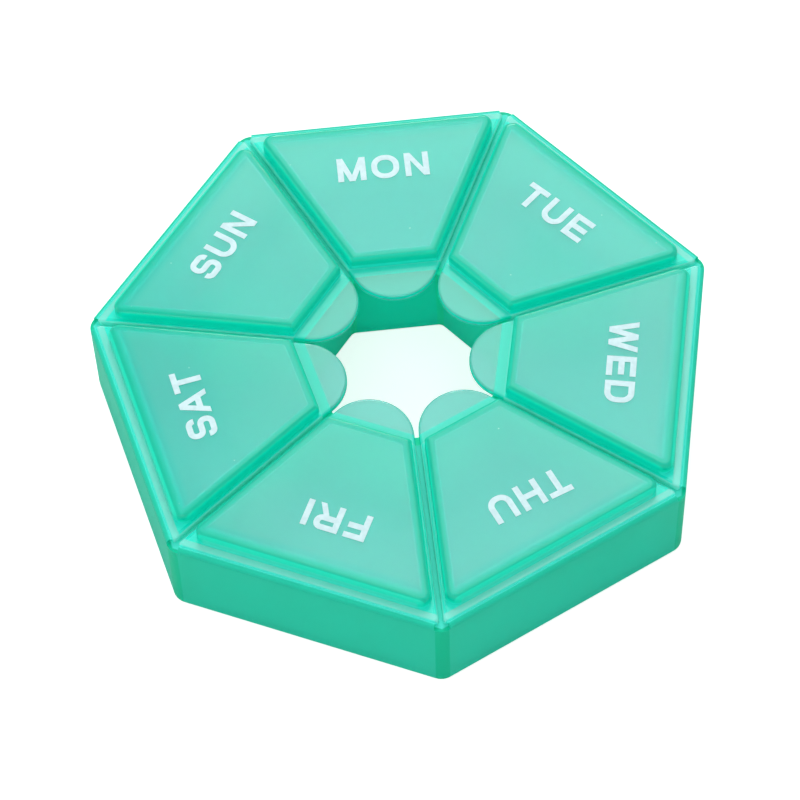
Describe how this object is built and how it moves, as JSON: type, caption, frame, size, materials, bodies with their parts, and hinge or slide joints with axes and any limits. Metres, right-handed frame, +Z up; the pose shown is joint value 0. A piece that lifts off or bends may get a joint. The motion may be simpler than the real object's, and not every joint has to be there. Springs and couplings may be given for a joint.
{
  "type": "weekly_pill_box",
  "caption": "Seven-sided weekly pill box in clear mint-green plastic, with a hinged lid over each day's wedge compartment and a finger hole in the middle",
  "frame": {"origin": "Middle of the footprint's bounding box, on the flat base that the box stands on; the seven-sided outline's own axis is 2.7 mm towards +Y", "axes": "+Z up out of the lids, +Y out through the flat side of the Monday compartment, +X to the right of it as read from -Y; the days follow clockwise from above"},
  "size_m": [0.1118, 0.1092, 0.0214],
  "materials": {
    "tray_plastic": "glossy translucent mint-green polypropylene",
    "lid_plastic": "glossy translucent mint-green polypropylene",
    "white_print": "matt white ink"
  },
  "bodies": {
    "tray": {"tray": "tray_plastic", "hinge_mon": "lid_plastic", "hinge_tue": "lid_plastic", "hinge_wed": "lid_plastic", "hinge_thu": "lid_plastic", "hinge_fri": "lid_plastic", "hinge_sat": "lid_plastic", "hinge_sun": "lid_plastic"},
    "lid_mon": {"lid_mon": "lid_plastic", "legend_mon": "white_print"},
    "lid_tue": {"lid_tue": "lid_plastic", "legend_tue": "white_print"},
    "lid_wed": {"lid_wed": "lid_plastic", "legend_wed": "white_print"},
    "lid_thu": {"lid_thu": "lid_plastic", "legend_thu": "white_print"},
    "lid_fri": {"lid_fri": "lid_plastic", "legend_fri": "white_print"},
    "lid_sat": {"lid_sat": "lid_plastic", "legend_sat": "white_print"},
    "lid_sun": {"lid_sun": "lid_plastic", "legend_sun": "white_print"}
  },
  "joints": [
    {"name": "mon_lid_hinge", "type": "hinge", "parent": "tray", "child": "lid_mon", "pos_m": [0, 0.0542, 0.01845], "axis": [-1, 0, 0], "range_deg": [0, 180], "deforming": ["hinge_mon"]},
    {"name": "tue_lid_hinge", "type": "hinge", "parent": "tray", "child": "lid_tue", "pos_m": [0.04027, 0.03481, 0.01845], "axis": [-0.6235, 0.7818, 0], "range_deg": [0, 180], "deforming": ["hinge_tue"]},
    {"name": "wed_lid_hinge", "type": "hinge", "parent": "tray", "child": "lid_wed", "pos_m": [0.05022, -0.00877, 0.01845], "axis": [0.2225, 0.9749, 0], "range_deg": [0, 180], "deforming": ["hinge_wed"]},
    {"name": "thu_lid_hinge", "type": "hinge", "parent": "tray", "child": "lid_thu", "pos_m": [0.02235, -0.04372, 0.01845], "axis": [0.901, 0.4339, 0], "range_deg": [0, 180], "deforming": ["hinge_thu"]},
    {"name": "fri_lid_hinge", "type": "hinge", "parent": "tray", "child": "lid_fri", "pos_m": [-0.02235, -0.04372, 0.01845], "axis": [0.901, -0.4339, 0], "range_deg": [0, 180], "deforming": ["hinge_fri"]},
    {"name": "sat_lid_hinge", "type": "hinge", "parent": "tray", "child": "lid_sat", "pos_m": [-0.05022, -0.00877, 0.01845], "axis": [0.2225, -0.9749, 0], "range_deg": [0, 180], "deforming": ["hinge_sat"]},
    {"name": "sun_lid_hinge", "type": "hinge", "parent": "tray", "child": "lid_sun", "pos_m": [-0.04027, 0.03481, 0.01845], "axis": [-0.6235, -0.7818, 0], "range_deg": [0, 180], "deforming": ["hinge_sun"]}
  ]
}
